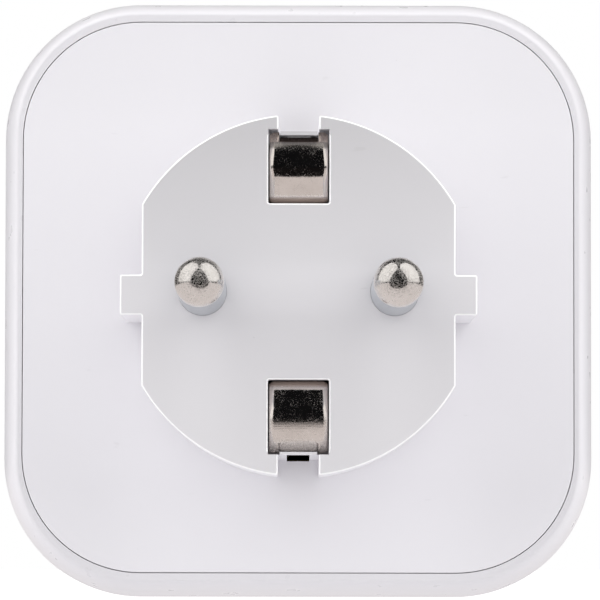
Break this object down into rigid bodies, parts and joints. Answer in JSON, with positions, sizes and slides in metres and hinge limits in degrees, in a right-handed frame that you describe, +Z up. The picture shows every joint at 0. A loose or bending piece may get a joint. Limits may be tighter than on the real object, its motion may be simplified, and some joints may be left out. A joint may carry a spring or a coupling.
{
  "type": "plug-in power meter",
  "caption": "Rounded-square plug-through mains power meter: side-earth plug behind, matching shuttered socket in front, display and keys on top.",
  "frame": {"origin": "centre of the plug's flat end face, on the plug's axis between the two pins", "axes": "+Y from the plug through the body to the front socket, +X to the right seen from the plug side, +Z up"},
  "size_m": [0.061, 0.0803, 0.0615],
  "materials": {
    "shell_white": "satin gloss",
    "cover_white": "satin gloss",
    "inner_plastic": "moulded",
    "nickel": "nickel plated",
    "brass": "stamped",
    "steel": "zinc plated",
    "board": "solder mask",
    "component_black": "moulded",
    "component_ochre": "moulded",
    "component_blue": "coated",
    "lens": "clear",
    "lcd": "reflective grey",
    "rubber": "matt",
    "key_grey": "satin",
    "shunt_metal": "rolled"
  },
  "bodies": {
    "housing": {"board_screw_left": "steel", "board_screw_right": "steel", "cell_holder": "inner_plastic", "coin_cell": "steel", "cup_screw_lower": "steel", "cup_screw_upper": "steel", "display_board": "board", "display_window": "lens", "earth_clip_lower": "nickel", "earth_clip_upper": "nickel", "earth_strap": "nickel", "electrolytic_capacitor": "component_blue", "fuse": "component_ochre", "housing_shell": "shell_white", "lcd_frame": "inner_plastic", "lcd_panel": "lcd", "line_busbar": "brass", "line_contact": "brass", "line_pin": "nickel", "main_board": "board", "metering_chip": "component_black", "neutral_busbar": "brass", "neutral_contact": "brass", "neutral_pin": "nickel", "pin_carrier": "inner_plastic", "rear_cover": "cover_white", "ribbon_link": "rubber", "shunt_resistor": "shunt_metal", "shutter_spring": "steel", "shutter_tray": "inner_plastic", "socket_cup": "cover_white", "socket_earth_lower": "nickel", "socket_earth_upper": "nickel", "switch_mode": "component_black", "switch_reset": "component_black", "switch_set": "component_black", "varistor": "component_blue", "x_capacitor": "component_ochre", "zebra_front": "rubber", "zebra_rear": "rubber"},
    "mode_key": {"key_mode": "key_grey"},
    "set_key": {"key_set": "key_grey"},
    "reset_key": {"key_reset": "key_grey"},
    "shutter_slider": {"shutter": "inner_plastic"}
  },
  "joints": [
    {"name": "mode_key_press", "type": "slide", "parent": "housing", "child": "mode_key", "axis": [0, 0, -1], "range_m": [0, 0.0005], "stiffness_N_per_m": 400, "springref_m": -0.0005},
    {"name": "set_key_press", "type": "slide", "parent": "housing", "child": "set_key", "axis": [0, 0, -1], "range_m": [0, 0.0005], "stiffness_N_per_m": 400, "springref_m": -0.0005},
    {"name": "reset_key_press", "type": "slide", "parent": "housing", "child": "reset_key", "axis": [0, 0, -1], "range_m": [0, 0.0005], "stiffness_N_per_m": 400, "springref_m": -0.0005},
    {"name": "shutter_slide", "type": "slide", "parent": "housing", "child": "shutter_slider", "axis": [0, 0, -1], "range_m": [0, 0.006], "stiffness_N_per_m": 60, "springref_m": -0.003, "deforming": ["shutter_spring"]}
  ]
}
